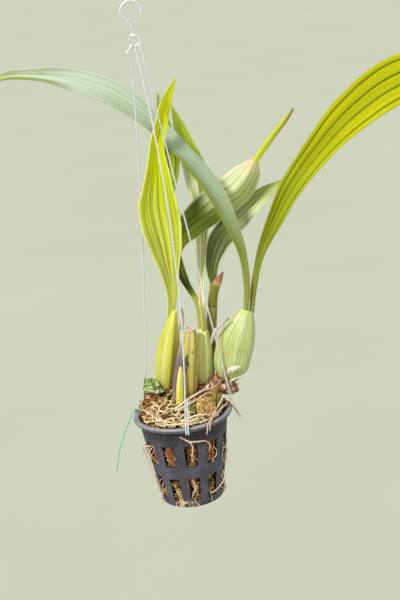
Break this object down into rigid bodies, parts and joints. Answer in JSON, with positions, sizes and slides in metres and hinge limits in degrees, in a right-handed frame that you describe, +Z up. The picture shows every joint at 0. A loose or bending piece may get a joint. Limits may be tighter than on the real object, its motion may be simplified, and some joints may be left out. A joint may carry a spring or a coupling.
{
  "type": "potted black orchid",
  "caption": "Hanging potted black orchid without flowers: plump green bulbs and long pleated leaves in a slotted plastic net pot on a wire hanger with a hook.",
  "frame": {"origin": "centre of the flat underside of the pot", "axes": "+Z up along the axis of the pot, -Y towards the viewer in the picture, +X to the viewer's right"},
  "size_m": [0.4876, 0.1248, 0.4964],
  "materials": {
    "pot_plastic": "dull dark grey moulded plastic",
    "medium_fibre": "damp bark, husk fibre and moss",
    "rhizome_brown": "dry brown scales",
    "bulb_yellow": "smooth ribbed skin, satin",
    "bulb_old_skin": "old ribbed skin, dull, with dark marks",
    "bulb_green": "smooth skin, satin",
    "bulb_pale": "smooth skin with fine ridges, satin",
    "sheath_olive": "overlapping sheaths, satin",
    "leaf_yellow": "pleated leaf, satin",
    "leaf_green": "pleated leaf, satin",
    "leaf_pale": "pale underside of a pleated leaf, dull",
    "leaf_olive": "pleated leaf, satin",
    "dry_paper": "dry papery bract",
    "dry_purple": "dry purple-grey sheath",
    "dry_pink": "dry pink-brown sheath",
    "galvanised": "galvanised wire",
    "root_cream": "dry cream root",
    "root_brown": "dry brown root",
    "weed_green": "soft light green leaflets",
    "string_teal": "thin twisted string"
  },
  "bodies": {
    "root": {"net_pot": "pot_plastic", "growing_medium": "medium_fibre", "rhizome": "rhizome_brown", "bulb_left": "bulb_yellow", "bulb_old": "bulb_old_skin", "bulb_middle": "bulb_green", "bulb_right": "bulb_pale", "bulb_bud": "bulb_yellow", "shoot_new": "sheath_olive", "leaf_front": "leaf_yellow", "leaf_folded": "leaf_green", "leaf_middle_left": "leaf_green", "leaf_middle_erect": "leaf_green", "leaf_long_left": "leaf_pale", "leaf_long_right": "leaf_olive", "leaf_shoot": "leaf_pale", "sheath_old": "dry_purple", "stub_left": "dry_purple", "bract_middle": "dry_pink", "sheath_shoot": "dry_pink", "bract_white": "dry_paper", "strip_right": "dry_paper", "spike_white": "dry_paper", "weed_tuft": "weed_green", "weed_small": "weed_green", "root_over_front_rim": "root_cream", "root_over_right_rim": "root_cream", "root_brown_right": "root_brown", "root_upper_slot": "root_cream", "root_lower_slot": "root_cream", "root_left_side": "root_cream", "root_right_low": "root_cream", "hanger_wire_front": "galvanised", "hanger_wire_right": "galvanised", "hanger_wire_left": "galvanised", "hanger_hook": "galvanised", "green_string": "string_teal"}
  },
  "joints": []
}
